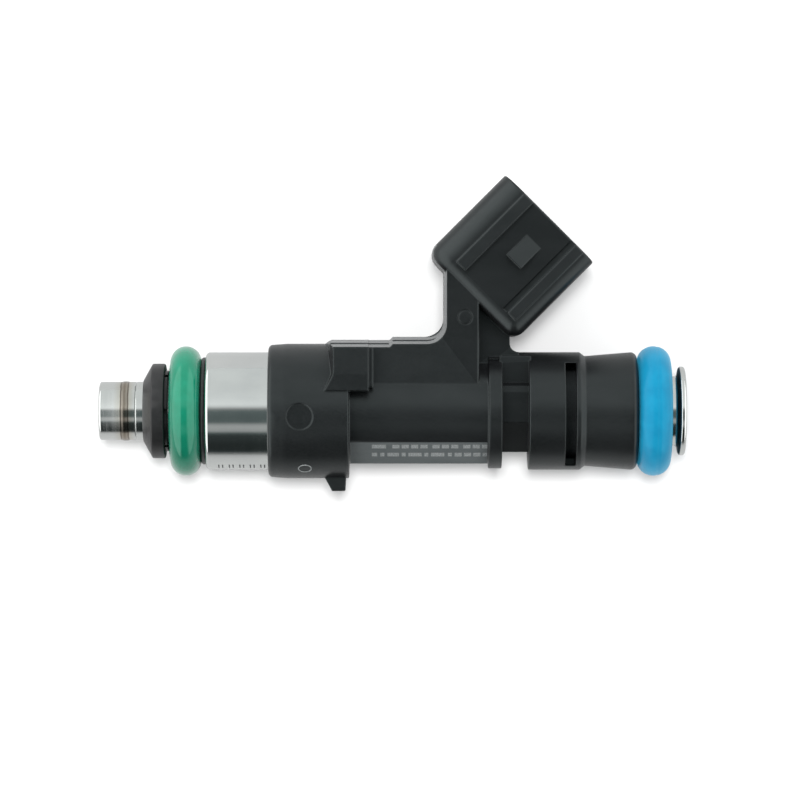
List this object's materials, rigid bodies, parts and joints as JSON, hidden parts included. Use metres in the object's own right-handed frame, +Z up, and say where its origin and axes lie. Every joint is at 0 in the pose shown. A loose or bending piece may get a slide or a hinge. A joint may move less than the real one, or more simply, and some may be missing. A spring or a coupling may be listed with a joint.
{
  "type": "fuel injector",
  "caption": "Slim port fuel injector with steel tip and pot, two O-rings, clip slot and a tilted electrical socket.",
  "frame": {"origin": "on the injector's axis, at the middle of the lower O-ring", "axes": "+X along the axis from the spray tip to the fuel inlet, +Y from the axis to the electrical socket, +Z up when the injector lies on its side"},
  "size_m": [0.066, 0.0354, 0.0154],
  "materials": {
    "black_plastic": "fine moulded grain",
    "drawn_steel": "bright drawn",
    "polished_steel": "ground and polished",
    "green_rubber": "glossy",
    "blue_rubber": "satin",
    "ring_plastic": "matte",
    "hard_steel": "ground",
    "magnet_steel": "turned",
    "filter_plastic": "moulded",
    "filter_mesh": "woven",
    "coil_copper": "enamelled wire",
    "contact_tin": "tin plated",
    "contact_brass": "drawn"
  },
  "bodies": {
    "injector_body": {"overmould": "black_plastic", "valve_sleeve": "drawn_steel", "magnet_housing": "polished_steel", "inlet_tube": "drawn_steel", "lower_o_ring": "green_rubber", "upper_o_ring": "blue_rubber", "o_ring_retainer": "ring_plastic", "backup_ring": "ring_plastic", "valve_seat": "hard_steel", "spray_disc": "hard_steel", "inner_pole": "magnet_steel", "return_spring": "hard_steel", "adjusting_sleeve": "hard_steel", "filter_band": "contact_brass", "filter_frame": "filter_plastic", "filter_screen": "filter_mesh", "coil_bobbin": "filter_plastic", "coil_winding": "coil_copper", "magnet_cover": "magnet_steel", "contact_front": "contact_tin", "contact_back": "contact_tin"},
    "needle": {"armature": "magnet_steel", "needle_tube": "hard_steel", "valve_ball": "hard_steel"}
  },
  "joints": [
    {"name": "needle_lift", "type": "slide", "parent": "injector_body", "child": "needle", "axis": [1, 0, 0], "range_m": [0, 0.00008], "stiffness_N_per_m": 3000, "springref_m": -0.0008, "deforming": ["return_spring"]}
  ]
}
